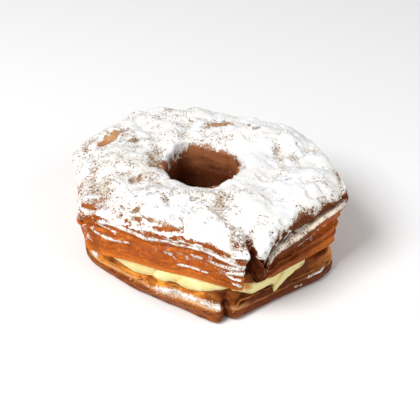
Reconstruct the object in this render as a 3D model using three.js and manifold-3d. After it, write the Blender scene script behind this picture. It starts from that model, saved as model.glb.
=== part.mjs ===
// A croissant doughnut: laminated dough pressed out as an uneven six-cornered ring, fried,
// split level into two halves and filled with pastry cream. Three solids lie on one another:
// the base with its crust band and torn crumb edge, the cream that swells out of the cut, and
// the lid with its leaf edges, open corner seam and lumpy crown.
// Millimetres, +Z up. The origin is the middle of the footprint, on the underside.
import * as THREE from "three";
import { mergeVertices } from "three/addons/utils/BufferGeometryUtils.js";
import Module from "manifold-3d";

// ---- driving dimensions, mm and degrees ----
// Corners of three outlines, as direction from the middle of the hole and reach from it. The
// base was turned a little against the lid when it was closed again.
const SHOULDER_CORNERS = [[348, 53.8], [36, 46.6], [114, 47], [161, 47.2], [209, 46], [290, 48]];
const FOOT_CORNERS = [[344, 52.8], [36, 44.8], [114, 45], [161, 44.2], [209.5, 44.2], [290.5, 45.2]];
const BASE_CORNERS = [[340, 52], [36, 44], [110, 44.4], [154, 45.5], [194, 42.2], [243, 36.4], [280.5, 45.4]];
const CORNER_SHARPNESS = 20;
const HOLE_OFFSET = { x: -3.3, y: 1.9 }; // from the middle of the footprint to that of the hole
const HOLE_RADIUS = [[0, 13.8], [25, 14.4], [56, 12.4], [82, 13.2], [108, 15], [135, 13.8], [160, 12.1], [185, 11.6],
  [225, 11.8], [270, 12.3], [315, 13.2]];

const BASE_HEIGHT = 11.2; // underside to the lower cut face
const CUT_GAP = 3.4; // between the two cut faces
const SHOULDER_HEIGHT = 31.6; // where the lid's wall turns over into the crown
const TOTAL_HEIGHT = 37.6; // underside to the crown, lumps left out
const CLEARANCE = 0.35; // kept between solids that lie on one another

// Base: smooth crust band below, a ledge that slopes in, torn crumb up to the cut.
const UNDERSIDE_ROUND = 2.4;
const CRUST_BAND = [[0, 4.6], [60, 4.2], [130, 5], [200, 3.2], [236, 4.2], [268, 5.4], [300, 3.4], [338, 4]];
const LEDGE_WIDTH = [[0, 1], [90, 1.4], [200, 1], [236, 1.4], [262, 2.4], [286, 1], [330, 0.9]];
const LEDGE_RISE = 0.9;
const CRUMB_BATTER = 1.3; // how far the torn crumb leans in up to the cut face
const CRUMB_ROWS = 4;

// Lid: the wall is four leaves high, and the lip of each stands proud of a recess above it.
const LEAF_LIPS = [0.2, 0.42, 0.7, 1]; // of the height from the cut up to the shoulder
const LEAF_PROUD = [0.4, 0.6, 1, 0.5];
const RECESS_SHARE = [0, 0.5, 0.6, 1];
const LEAF_RECESS = [[10, 1.1], [100, 1.4], [200, 0.7], [250, 0.7], [288, 0.9], [297, 2.2], [320, 2.6], [346, 2]];
const LEAF_WAVE = 0.1; // how far the lips rise and sink, of the same height
// Round the open corner the leaves are pulled down towards the cut. 1 is no pull.
const LEAF_DROOP = [[0, 1], [120, 1.2], [200, 1], [262, 1], [288, 1.4], [292.5, 1.6], [296, 4], [300, 3.8],
  [308, 1.3], [318, 1]];
const CROWN_PLACE = 0.46; // crown's place between hole wall and shoulder
const RIM_DROP = 1.5; // crown to the rim of the hole

// Open seams. In the wall a seam is a wedge that widens and drifts downwards, on the crown a
// valley that runs towards the hole.
const LID_SEAMS = [
  { turn: 293.8, drift: 1.8, wall: 6.5, width: 3.8, valley: 2.2, spread: 4 },
  { turn: 214, drift: 0, wall: 1.2, width: 2.4, valley: 0.6, spread: 4 },
  { turn: 345, drift: 0, wall: 1.4, width: 3, valley: 0.6, spread: 4 },
  { turn: 14, drift: 0, wall: 1, width: 3.4, valley: 1.8, spread: 3.2 },
  { turn: 118, drift: -1, wall: 3, width: 3, valley: 1.2, spread: 4 },
  { turn: 38, drift: 0, wall: 1.4, width: 3, valley: 0.9, spread: 4 },
  { turn: 162, drift: 0, wall: 1.4, width: 3, valley: 1, spread: 4 },
];
const SEAM_NARROWS = { from: 17, to: 31, left: 0.35 }; // heights it narrows over, share left
const BASE_SEAMS = [
  { turn: 283.2, wall: 4.6, width: 2.8 },
  { turn: 108, wall: 3, width: 3 },
  { turn: 338, wall: 0.8, width: 3 },
];

// Cream: how far its lower edge hangs below the cut of the base, by direction. Well below
// zero it has drawn back into the cut.
const CREAM_HANG = [[4, -0.6], [16, 2.4], [30, 1], [40, -1], [58, 1.6], [78, 2.8], [98, 1], [116, -1],
  [134, 1.4], [149, 2.6], [164, 0.2], [180, -1.4], [215, -1.4], [223, 0.4], [232, 2], [243, 0.6], [251, 1.4],
  [256, 0.6], [261, 3], [268, 3], [277, 1.6], [285, 1.4], [292, 2.6], [299, 4.2], [305, 3.8], [310.5, 5], [316, 2.8],
  [322, 0.4], [330, -1.4], [350, -1.4]];
const CREAM_RETREAT = 7; // how far it draws back where none shows
const CREAM_PROUD = 3; // in front of the crumb at most
const CREAM_INSET = 0.8; // behind the foot of the lid, where the crumb leaves room
const CREAM_HOLE_GAP = 4.5; // cream stops this far short of the hole wall

const SECTIONS = { lid: 106, base: 92, cream: 92 };

// ---- shared helpers ----
const TURN = Math.PI * 2;
const radians = THREE.MathUtils.degToRad;
const { lerp, smoothstep, clamp } = THREE.MathUtils;

// Smooth noise from 0 to 1 on a unit grid, the same for the same place and seed.
function noise(x, y, z, seed = 0) {
  const corner = (i, j, k) => {
    const s = Math.sin(i * 127.1 + j * 311.7 + k * 74.7 + seed * 19.19) * 43758.5453;
    return s - Math.floor(s);
  };
  const [i, j, k] = [x, y, z].map(Math.floor);
  const [u, v, w] = [x - i, y - j, z - k].map((t) => t * t * (3 - 2 * t));
  const along = (dj, dk) => lerp(corner(i, j + dj, k + dk), corner(i + 1, j + dj, k + dk), u);
  return lerp(lerp(along(0, 0), along(1, 0), v), lerp(along(0, 1), along(1, 1), v), w);
}

// From -1 to 1, for places on the ring in mm, with bumps about `size` mm wide.
const bumps = (x, y, z, size, seed) => 2 * noise(x / size, y / size, z / size, seed) - 1;

// Angle between two directions, from -PI to PI.
const between = (a, b) => Math.atan2(Math.sin(a - b), Math.cos(a - b));

// The sides that join a run of corners, each as its outward direction and distance.
function sidesOf(corners) {
  const points = corners.map(([turn, reach]) =>
    new THREE.Vector2(Math.cos(radians(turn)), Math.sin(radians(turn))).multiplyScalar(reach));
  return points.map((from, i) => {
    const along = points[(i + 1) % points.length].clone().sub(from).normalize();
    const out = new THREE.Vector2(along.y, -along.x);
    return { turn: out.angle(), distance: out.dot(from) };
  });
}

// A value that changes smoothly round the ring, from a table of direction and value.
function around(table, theta) {
  const turn = THREE.MathUtils.euclideanModulo(THREE.MathUtils.radToDeg(theta), 360);
  const after = table.findIndex(([t]) => t > turn);
  const [to, from] = [table[Math.max(after, 0)], table.at(after < 0 ? -1 : after - 1)];
  const span = THREE.MathUtils.euclideanModulo(to[0] - from[0], 360);
  const gone = THREE.MathUtils.euclideanModulo(turn - from[0], 360);
  return lerp(from[1], to[1], smoothstep(gone / span, 0, 1));
}

// Reach of an outline whose corners are rounded over.
function outline(sides, theta) {
  const pressed = sides.map((s) => Math.max(0, Math.cos(theta - s.turn)) / s.distance);
  return pressed.reduce((sum, p) => sum + p ** CORNER_SHARPNESS, 0) ** (-1 / CORNER_SHARPNESS);
}

// Directions round the ring, closer together near the seams so that their wedges stay crisp.
function directions(count, seams) {
  const steps = 1440;
  const closeness = 2.6;
  const near = radians(7);
  const weight = (theta) => seams.reduce((sum, s) =>
    sum + closeness * (s.wall / 9) * Math.exp(-((between(theta, radians(s.turn)) / near) ** 2)), 1);
  const reached = [0];
  for (let i = 0; i < steps; i += 1) {
    reached.push(reached[i] + weight((i + 0.5) / steps * TURN));
  }
  return Array.from({ length: count }, (_, n) => {
    const wanted = reached[steps] * n / count;
    const i = Math.max(0, reached.findIndex((r) => r > wanted) - 1);
    return (i + (wanted - reached[i]) / (reached[i + 1] - reached[i])) / steps * TURN;
  });
}

// How deep the seams cut in at one place. Up the wall, `narrowed` goes from 0 to 1.
function wedge(seams, theta, reach, narrowed = 0) {
  return seams.reduce((deepest, s) => {
    const middle = radians(s.turn + (s.drift ?? 0) * (1 - narrowed));
    const off = Math.abs(between(theta, middle)) * reach;
    const width = s.width * lerp(1, SEAM_NARROWS.left, narrowed);
    return Math.max(deepest, s.wall * (1 - narrowed / 2) * Math.max(0, 1 - off / width) ** 0.8);
  }, 0);
}

// Points of one Bezier stretch of a section, its last point left to the next stretch.
function stretch(count, ...points) {
  const at = points.map(([r, z]) => new THREE.Vector2(r, z));
  const curve = at.length === 2 ? new THREE.LineCurve(...at) : new THREE.CubicBezierCurve(...at);
  return curve.getPoints(count).slice(0, -1);
}

// Outward normals of a closed section that runs counterclockwise in radius and height.
function outwards(section) {
  return section.map((_, i) => {
    const before = section[(i + section.length - 1) % section.length];
    const after = section[(i + 1) % section.length];
    return new THREE.Vector2(after.y - before.y, before.x - after.x).normalize();
  });
}

// A ring-shaped solid from one closed section for each direction.
function ring(turns, sectionAt) {
  const sections = turns.map((theta) => sectionAt(theta));
  const rows = sections[0].length;
  const positions = sections.flatMap((section, n) => section.flatMap((p) =>
    [p.x * Math.cos(turns[n]), p.x * Math.sin(turns[n]), p.y]));
  const index = [];
  turns.forEach((_, n) => {
    const here = n * rows;
    const next = ((n + 1) % turns.length) * rows;
    for (let i = 0; i < rows; i += 1) {
      const j = (i + 1) % rows;
      index.push(here + i, next + i, here + j, here + j, next + i, next + j);
    }
  });
  const geometry = new THREE.BufferGeometry();
  geometry.setAttribute("position", new THREE.Float32BufferAttribute(positions, 3));
  geometry.setIndex(index);
  geometry.computeVertexNormals();
  return geometry;
}

// ---- the shape of both halves ----
const SHOULDER_SIDES = sidesOf(SHOULDER_CORNERS);
const FOOT_SIDES = sidesOf(FOOT_CORNERS);
const BASE_SIDES = sidesOf(BASE_CORNERS);

const holeRadius = (theta) => around(HOLE_RADIUS, theta);
const dents = (theta) => 0.5 * Math.sin(5 * theta + 1) + 0.3 * Math.sin(9 * theta);
const shoulderReach = (theta) => outline(SHOULDER_SIDES, theta) + dents(theta);
const footReach = (theta) => outline(FOOT_SIDES, theta) + dents(theta);
const baseReach = (theta) => outline(BASE_SIDES, theta) + 0.3 * Math.sin(4 * theta + 2);
const baseSeam = (theta) => wedge(BASE_SEAMS, theta, 42);
const lidCut = (theta) => BASE_HEIGHT + CUT_GAP
  + 0.4 * Math.sin(2 * theta + 0.4) + 0.3 * Math.sin(5 * theta + 1.2);

// ---- base: crust band, ledge, torn crumb up to the cut face ----
function crumbEdge(theta) {
  const [x, y] = [40 * Math.cos(theta), 40 * Math.sin(theta)];
  const foot = around(CRUST_BAND, theta) + LEDGE_RISE;
  return Array.from({ length: CRUMB_ROWS }, (_, n) => {
    const up = n / (CRUMB_ROWS - 1);
    const z = lerp(foot, BASE_HEIGHT - 0.4, up);
    const torn = 0.7 * bumps(x, y, n * 3, 5, 21) + 0.4 * bumps(x, y, n * 3, 2.6, 22);
    const reach = baseReach(theta) - around(LEDGE_WIDTH, theta) - CRUMB_BATTER * up + torn;
    return new THREE.Vector2(reach, z);
  });
}

function baseSection(theta, seam = baseSeam(theta)) {
  const hole = holeRadius(theta) - 0.4;
  const reach = baseReach(theta) - seam;
  const round = UNDERSIDE_ROUND;
  const band = around(CRUST_BAND, theta);
  const crumb = crumbEdge(theta);
  crumb.forEach((p, n) => p.setX(p.x - seam * (1 - n / CRUMB_ROWS)));
  const top = crumb[CRUMB_ROWS - 1].x - 1.2;
  return [
    ...stretch(2, [hole + 1.2, 0], [reach - round, 0]),
    ...stretch(3, [reach - round, 0], [reach - round * 0.4, 0], [reach, round * 0.5], [reach, round]),
    ...stretch(2, [reach, round], [reach, band]),
    new THREE.Vector2(reach - 0.4, band + 0.25),
    ...crumb,
    ...stretch(2, [top, BASE_HEIGHT], [hole + 1, BASE_HEIGHT]),
    ...stretch(3, [hole + 1, BASE_HEIGHT], [hole, BASE_HEIGHT - 1], [hole, 1.4], [hole + 1.2, 0]),
  ];
}

// ---- cream: fills the cut and hangs over the crumb ----
// The section runs into the base, which is cut out of it afterwards with a clearance all round.
function creamSection(theta) {
  const [x, y] = [40 * Math.cos(theta), 40 * Math.sin(theta)];
  const hang = around(CREAM_HANG, theta) + 0.3 * bumps(x, y, 0, 3.4, 31);
  const out = smoothstep(hang, -1.2, 0.6);
  const top = lidCut(theta) - CLEARANCE;
  const floor = BASE_HEIGHT - 0.5;
  const inner = holeRadius(theta) + CREAM_HOLE_GAP;
  const edge = baseReach(theta) - around(LEDGE_WIDTH, theta) - CRUMB_BATTER;
  const tip = floor - Math.max(0, hang);
  const roomy = Math.min(footReach(theta) - CREAM_INSET, edge + CREAM_PROUD);
  const face = lerp(edge - CREAM_RETREAT, Math.max(edge + 1, roomy), out);
  return [
    ...stretch(2, [inner, floor], [face - 5, floor]),
    ...stretch(2, [face - 5, floor], [face - 3.5, tip]),
    ...stretch(6, [face - 3.5, tip], [face - 0.2, tip - 0.5], [face + 1, top - 0.4], [face - 0.9, top]),
    ...stretch(2, [face - 0.9, top], [inner, top]),
    new THREE.Vector2(inner, top),
  ];
}

// ---- lid: leafy wall, shoulder, lumpy crown, hole wall ----
// The wall from the cut up to the shoulder. Each leaf is a foot in the recess, a belly and a lip.
// The leaves fade in and out and rise and sink round the ring, as rolled and cut dough does.
function leafWall(theta) {
  const [cx, cy] = [Math.cos(theta), Math.sin(theta)];
  const cut = lidCut(theta);
  const droop = around(LEAF_DROOP, theta);
  const recess = around(LEAF_RECESS, theta);
  return LEAF_LIPS.flatMap((lip, n) => {
    const below = n === 0 ? 0 : LEAF_LIPS[n - 1];
    const fading = 0.4 + 1.2 * noise(3 * cx, 3 * cy, n * 4.7, 5);
    const steps = [[0.1, -recess * fading * RECESS_SHARE[n]], [0.5, -0.1], [0.94, LEAF_PROUD[n] * fading]];
    return steps.map(([part, proud]) => {
      const level = lerp(below, lip, part);
      const wave = LEAF_WAVE * bumps(cx, cy, level * 0.6, 0.35, 3) * Math.sin(Math.PI * level);
      const z = lerp(cut, SHOULDER_HEIGHT, (level + wave) ** droop);
      const uneven = 0.7 * bumps(3 * cx, 3 * cy, n * 5.3, 1, 7) + 0.35 * bumps(9 * cx, 9 * cy, n * 3.1, 1, 8);
      const narrowed = smoothstep(z, SEAM_NARROWS.from, SEAM_NARROWS.to);
      const reach = lerp(footReach(theta), shoulderReach(theta), level) + proud + uneven * Math.min(1, level * 5);
      return new THREE.Vector2(reach - wedge(LID_SEAMS, theta, reach, narrowed), z);
    });
  });
}

// Height that lumps and seam valleys add to the crown.
function crown(theta, radius) {
  const [x, y] = [radius * Math.cos(theta), radius * Math.sin(theta)];
  const lumps = 1.5 * bumps(x, y, 0, 13, 11) + 1.1 * bumps(x, y, 0, 6.5, 12) + 0.4 * bumps(x, y, 0, 3, 13);
  const valleys = LID_SEAMS.reduce((sum, s) => {
    const turned = between(theta, radians(s.turn));
    const off = Math.abs(turned) < Math.PI / 2 ? radius * Math.sin(turned) : Infinity;
    const along = smoothstep(radius / shoulderReach(theta), 0.42, 0.95);
    return sum + s.valley * along * Math.exp(-((off / s.spread) ** 2));
  }, 0);
  return lumps - valleys;
}

function lidSection(theta) {
  const hole = holeRadius(theta);
  const cut = lidCut(theta);
  const wall = leafWall(theta);
  const [foot, shoulder] = [wall[0], wall.at(-1)];
  const ridge = lerp(hole, shoulderReach(theta), CROWN_PLACE);
  const rim = TOTAL_HEIGHT - RIM_DROP;
  const turned = (shoulder.x - ridge) * 0.42;
  const over = [
    ...stretch(8, [shoulder.x, shoulder.y], [shoulder.x - 0.7, shoulder.y + 3.6], [ridge + turned, TOTAL_HEIGHT],
      [ridge, TOTAL_HEIGHT]).slice(1),
    ...stretch(5, [ridge, TOTAL_HEIGHT], [lerp(ridge, hole, 0.5), TOTAL_HEIGHT], [hole + 1.4, rim + 0.5],
      [hole, rim - 1.6]),
  ];
  over.forEach((p, n) => p.setY(p.y + crown(theta, p.x) * smoothstep(n, -1, 3)));
  return [
    ...stretch(3, [hole + 0.6, cut], [foot.x - 0.4, cut]),
    new THREE.Vector2(foot.x - 0.4, cut),
    ...wall,
    ...over,
    ...stretch(4, [hole, rim - 1.6], [hole - 0.7, rim - 8], [hole, cut + 5], [hole + 0.6, cut]),
  ];
}

// ---- the three solids ----
const wasm = await Module();
wasm.setup();

function solidOf(geometry) {
  const places = geometry.clone();
  places.deleteAttribute("normal");
  const merged = mergeVertices(places, 1e-4);
  return new wasm.Manifold(new wasm.Mesh({
    numProp: 3,
    vertProperties: merged.attributes.position.array,
    triVerts: new Uint32Array(merged.index.array),
  }));
}

function geometryOf(solid) {
  const made = solid.getMesh();
  const geometry = new THREE.BufferGeometry();
  geometry.setAttribute("position", new THREE.BufferAttribute(made.vertProperties, 3));
  geometry.setIndex(new THREE.BufferAttribute(made.triVerts, 1));
  geometry.computeVertexNormals();
  return geometry;
}

// The base without its seams, swollen by the clearance, which the cream is cut back from.
function swollenBase(theta) {
  const plain = baseSection(theta, 0);
  const out = outwards(plain);
  return plain.map((p, i) => p.addScaledVector(out[i], CLEARANCE));
}

function creamGeometry() {
  const filled = solidOf(ring(directions(SECTIONS.cream, BASE_SEAMS), creamSection));
  const cut = filled.subtract(solidOf(ring(directions(SECTIONS.base, BASE_SEAMS), swollenBase)));
  const largest = cut.decompose().reduce((most, part) => (part.volume() > most.volume() ? part : most));
  return geometryOf(largest);
}

const crust = new THREE.MeshStandardMaterial({ color: 0xb4581f, roughness: 0.5, metalness: 0 });
const custard = new THREE.MeshStandardMaterial({ color: 0xecd596, roughness: 0.35, metalness: 0 });
const sugared = new THREE.MeshStandardMaterial({ color: 0xf4f1ec, roughness: 0.9, metalness: 0 });

function piece(name, geometry, material) {
  const mesh = new THREE.Mesh(geometry.translate(HOLE_OFFSET.x, HOLE_OFFSET.y, 0), material);
  mesh.name = name;
  return mesh;
}

const cronut = new THREE.Group();
cronut.add(piece("base_pastry", ring(directions(SECTIONS.base, BASE_SEAMS), baseSection), crust));
cronut.add(piece("cream_filling", creamGeometry(), custard));
cronut.add(piece("lid_pastry", ring(directions(SECTIONS.lid, LID_SEAMS), lidSection), sugared));

export default cronut;
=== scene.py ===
import math

import bmesh
import bpy
import numpy as np
from mathutils import Matrix, Vector


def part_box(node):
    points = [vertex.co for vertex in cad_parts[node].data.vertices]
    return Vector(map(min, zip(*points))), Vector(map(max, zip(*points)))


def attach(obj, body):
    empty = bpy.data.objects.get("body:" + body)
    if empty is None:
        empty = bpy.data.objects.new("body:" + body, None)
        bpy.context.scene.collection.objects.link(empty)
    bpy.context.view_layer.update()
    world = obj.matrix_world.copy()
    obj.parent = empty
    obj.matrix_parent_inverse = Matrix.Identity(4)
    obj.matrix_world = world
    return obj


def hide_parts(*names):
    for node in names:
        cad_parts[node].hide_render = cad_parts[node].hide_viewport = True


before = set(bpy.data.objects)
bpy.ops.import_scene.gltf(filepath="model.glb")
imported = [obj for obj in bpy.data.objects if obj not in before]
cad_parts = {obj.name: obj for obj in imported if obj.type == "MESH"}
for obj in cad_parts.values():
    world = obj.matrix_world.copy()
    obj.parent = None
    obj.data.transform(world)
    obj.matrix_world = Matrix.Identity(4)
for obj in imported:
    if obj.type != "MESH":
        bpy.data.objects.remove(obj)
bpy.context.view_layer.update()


# ---- Base ----
# The lower half of the ring: laminated dough, fried, then split level. Round its foot runs a
# smooth brown crust band, above it the dough is torn back to golden, leafy crumb. Sugar that
# missed the lid lies on the ledge between them.
MM = 0.001  # sizes below are in millimetres, Blender's are in metres
HOLE_AT = (-3.3, 1.9)  # middle of the hole, where all directions and reaches start

BASE_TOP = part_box("base_pastry")[1].z / MM
BASE_CORNERS = [(340, 52), (36, 44), (110, 44.4), (154, 45.5), (194, 42.2), (243, 36.4), (280.5, 45.4)]
HOLE_REACH = [
    (0, 13.8), (25, 14.4), (56, 12.4), (82, 13.2), (108, 15), (135, 13.8), (160, 12.1), (185, 11.6),
    (225, 11.8), (270, 12.3), (315, 13.2)]
CRUST_BAND = [(0, 4.6), (60, 4.2), (130, 5), (200, 3.2), (236, 4.2), (268, 5.4), (300, 3.4), (338, 4)]
LEDGE_WIDTH = [(0, 1), (90, 1.4), (200, 1), (236, 1.4), (262, 2.4), (286, 1), (330, 0.9)]
LEDGE_RISE = 0.9
# How far the crumb slopes back.
CRUMB_BATTER = [(0, 1.3), (250, 1.3), (262, 2), (270, 2.8), (280, 4.2), (288, 3.5), (297, 1.6), (312, 1.3)]
CRUMB_TOP_DROP = 0.4  # the crumb ends this far under the cut
CRUMB_MEAN, WALL_MEAN = 40, 42  # mean reaches, for what is laid out along the crumb and the walls
UNDERSIDE_ROUND = 2.4
FOOT_TUCK = [(225, 0), (250, 1.2), (262, 1.6), (272, 0.8), (279, 0)]  # how far the foot is drawn in
BASE_SEAMS = [
    dict(turn=283.4, wall=3.8, width=4.2, flare=2.4), dict(turn=108, wall=3, width=3),
    dict(turn=338, wall=0.8, width=3)]
# Streaks of sugar on the base: half height, how much, direction and height along each.
BASE_STREAKS = [
    (0.6, 0.8, (240, 5.2), (246, 5.6)), (1, 1.1, (246, 5.8), (252.8, 6.2), (261, 6.9), (268, 7.1)),
    (1.2, 0.85, (268, 7), (275, 7), (280, 6.4)), (1, 1, (195, 5), (199, 4.8)),
    (0.45, 0.95, (328, 4.5), (337, 5)), (0.5, 0.75, (321, 3.2), (324, 3)),
    (0.8, 0.85, (24, 5.4), (50, 5.2)), (0.8, 0.9, (84, 5.2), (106, 5.4)), (0.9, 0.9, (134, 5.8), (164, 5))]


def smooth(value, low, high):
    """0 below low, 1 above high, smooth between."""
    part = np.clip((value - low) / (high - low), 0, 1)
    return part * part * (3 - 2 * part)


def noise(x, y, z, seed=0):
    """Smooth noise from 0 to 1 on a unit grid, the same for the same place and seed."""
    x, y, z = np.broadcast_arrays(x, y, z)
    i, j, k = np.floor(x), np.floor(y), np.floor(z)
    corners = []
    for di, dj, dk in np.ndindex(2, 2, 2):
        s = np.sin((i + di) * 127.1 + (j + dj) * 311.7 + (k + dk) * 74.7 + seed * 19.19) * 43758.5453
        corners.append(s - np.floor(s))
    for off in (x - i, y - j, z - k):
        half, part = len(corners) // 2, off * off * (3 - 2 * off)
        corners = [a + (b - a) * part for a, b in zip(corners[:half], corners[half:])]
    return corners[0]


def bumps(x, y, z, size, seed):
    """From -1 to 1, with bumps about `size` wide."""
    return 2 * noise(x / size, y / size, z / size, seed) - 1


def step_at(turns, degrees):
    """The step between listed directions that others lie in, and how far along it they are."""
    turns = np.array([*turns, turns[0] + 360], float)
    at = (degrees - turns[0]) % 360 + turns[0]
    after = np.clip(np.searchsorted(turns, at, side="right"), 1, len(turns) - 1)
    return after, (at - turns[after - 1]) / (turns[after] - turns[after - 1])


def around(table, turn):
    """A value that changes smoothly round the ring, from a table of direction and value."""
    turns, values = np.array(table, float).T
    after, part = step_at(turns, np.degrees(turn))
    start, end = values[after - 1], values[after % len(values)]
    return start + (end - start) * smooth(part, 0, 1)


def fading(off, half, sharp=2):
    """1 where off is 0, and nothing well past half a width."""
    return np.exp(-((off / half) ** sharp))


def between(a, b):
    """Angle between two directions, from -pi to pi."""
    return np.arctan2(np.sin(a - b), np.cos(a - b))


def degrees_off(turn, middle):
    """How far directions are from one given in degrees, either way round."""
    return np.abs(np.degrees(between(turn, math.radians(middle))))


def near_turn(turn, middle, half, sharp=4):
    """1 near a direction given in degrees, 0 well past half a width from it."""
    return fading(degrees_off(turn, middle), half, sharp)


def outline(corners, turn):
    """Reach of the pressed many-cornered outline, its corners rounded over."""
    sharpness = 20
    points = [np.array((np.cos(np.radians(t)), np.sin(np.radians(t)))) * reach for t, reach in corners]
    total = 0
    for start, end in zip(points, points[1:] + points[:1]):
        along = (end - start) / np.linalg.norm(end - start)
        out = np.array((along[1], -along[0]))
        side = (np.cos(turn) * out[0] + np.sin(turn) * out[1]) / (out @ start)
        total = total + np.maximum(0, side) ** sharpness
    return total ** (-1 / sharpness)


def wedge(seams, turn, reach, narrowed=0.0):
    """How deep the seams cut in. Up the wall, narrowed goes from 0 to 1."""
    deepest = np.zeros(np.broadcast(turn, reach, narrowed).shape)
    for seam in seams:
        middle = np.radians(seam["turn"] + seam.get("drift", 0) * (1 - narrowed))
        off = np.abs(between(turn, middle)) * reach
        width = seam["width"] * (1 - 0.65 * narrowed)
        opened = seam["wall"] * (1 - narrowed / 2) * np.maximum(0, 1 - off / width) ** seam.get("flare", 0.8)
        deepest = np.maximum(deepest, opened)
    return deepest


def stretch(count, *points):
    """Points of one straight or Bezier stretch of a section, its last point left to the next."""
    t = np.arange(count) / count
    if len(points) == 2:
        weights = [1 - t, t]
    else:
        weights = [(1 - t) ** 3, 3 * t * (1 - t) ** 2, 3 * t * t * (1 - t), t ** 3]
    return [tuple(sum(w[n] * p[axis] for w, p in zip(weights, points)) for axis in (0, 1))
            for n in range(count)]


def to_run(x, y, places):
    """Distance from a run of straight pieces."""
    nearest = np.full(np.shape(x), 1e3)
    for (x0, y0), (x1, y1) in zip(places, places[1:]):
        length = (x1 - x0) ** 2 + (y1 - y0) ** 2
        part = np.clip(((x - x0) * (x1 - x0) + (y - y0) * (y1 - y0)) / length, 0, 1)
        nearest = np.minimum(nearest, np.hypot(x - x0 - part * (x1 - x0), y - y0 - part * (y1 - y0)))
    return nearest


def streaked(turn, height, streaks, reach):
    """A field for each streak on a wall of this mean reach: how much of it lies at each place."""
    fields = []
    for half, amount, *places in streaks:
        run = [(reach * math.radians(t), h) for t, h in places]
        fields.append(amount * fading(to_run(reach * turn, height, run), half))
    return np.array(fields)


def directions(count, crowd=()):
    """Directions round the ring, closer together near those in crowd, given in degrees."""
    steps, closer, half = 7200, 1.6, 7
    fine = np.arange(steps) / steps * 2 * math.pi
    weight = 1 + sum(closer * near_turn(fine, middle, half, 2) for middle in crowd)
    reached = np.concatenate([[0], np.cumsum(weight)])
    return np.interp(np.arange(count) / count * reached[-1], reached, np.append(fine, 2 * math.pi))


def to_grid(turns, section):
    """Section points (reach, height), each an array over the directions, as places on the ring."""
    reach, height = (np.stack([np.broadcast_to(p[n], turns.shape) for p in section], 1) for n in (0, 1))
    return np.stack([reach * np.cos(turns)[:, None], reach * np.sin(turns)[:, None], height], 2)


def facing(grid):
    """Outward normals of the ring's places."""
    along = np.roll(grid, -1, 0) - np.roll(grid, 1, 0)
    up = np.roll(grid, -1, 1) - np.roll(grid, 1, 1)
    out = np.cross(along, up)
    return out / np.maximum(np.linalg.norm(out, axis=2, keepdims=True), 1e-9)


def eased(field, times=1):
    """A field on the ring averaged with its neighbours."""
    for _ in range(times):
        field = (2 * field + np.roll(field, 1, 0) + np.roll(field, -1, 0)
                 + np.roll(field, 1, 1) + np.roll(field, -1, 1)) / 6
    return field


def lay_out(name, bm):
    """A finished bmesh as an object of its own, smooth, at the origin."""
    mesh = bpy.data.meshes.new(name)
    bm.to_mesh(mesh)
    bm.free()
    mesh.shade_smooth()
    piece = bpy.data.objects.new(name, mesh)
    bpy.context.collection.objects.link(piece)
    return piece


def press_ring(name, grid, paint):
    """A circle spun into a ring and subdivided, each of its points then pressed to its place in
    the grid. Paint holds named values for each place, which the finish reads."""
    sections, rows = grid.shape[:2]
    bm = bmesh.new()
    bmesh.ops.create_circle(bm, segments=rows // 4, radius=0.4)
    bmesh.ops.rotate(bm, verts=bm.verts, cent=(0, 0, 0), matrix=Matrix.Rotation(math.pi / 2, 3, "X"))
    bmesh.ops.translate(bm, verts=bm.verts, vec=(1, 0, 0))
    bmesh.ops.spin(bm, geom=bm.verts[:] + bm.edges[:], cent=(0, 0, 0), axis=(0, 0, 1), angle=2 * math.pi,
                   steps=sections // 4, use_merge=True)
    bmesh.ops.subdivide_edges(bm, edges=bm.edges, cuts=3, use_grid_fill=True)
    bmesh.ops.recalc_face_normals(bm, faces=bm.faces)
    piece = lay_out(name, bm)
    mesh = piece.data
    x, y, z = np.array([vert.co[:] for vert in mesh.vertices]).T
    section = np.rint(np.arctan2(y, x) / (2 * math.pi) * sections).astype(int) % sections
    row = np.rint(np.arctan2(z, np.hypot(x, y) - 1) / (2 * math.pi) * rows).astype(int) % rows
    placed = (grid[section, row] + np.array((*HOLE_AT, 0))) * MM
    mesh.vertices.foreach_set("co", placed.astype(np.float32).ravel())
    for key, field in paint.items():
        painted = mesh.attributes.new(key, "FLOAT", "POINT")
        painted.data.foreach_set("value", field[section, row].astype(np.float32))
    mesh.update()
    return piece


class Amount:
    """A number, colour or vector that varies over a surface. Arithmetic adds Math nodes."""

    def __init__(self, finish, socket):
        self.finish, self.socket = finish, socket

    def worked(self, operation, *values):
        return self.finish.node("Math", {"operation": operation}, dict(enumerate(values)))

    def __add__(self, other): return self.worked("ADD", self, other)
    def __sub__(self, other): return self.worked("SUBTRACT", self, other)
    def __rsub__(self, other): return self.worked("SUBTRACT", other, self)
    def __mul__(self, other): return self.worked("MULTIPLY", self, other)
    __radd__, __rmul__ = __add__, __mul__

    def eased(self, low, high, start=0.0, end=1.0):
        """start below low, end above high, smooth between."""
        return self.finish.node("MapRange", {"interpolation_type": "SMOOTHSTEP"}, {
            "Value": self, "From Min": low, "From Max": high, "To Min": start, "To Max": end})


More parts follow.
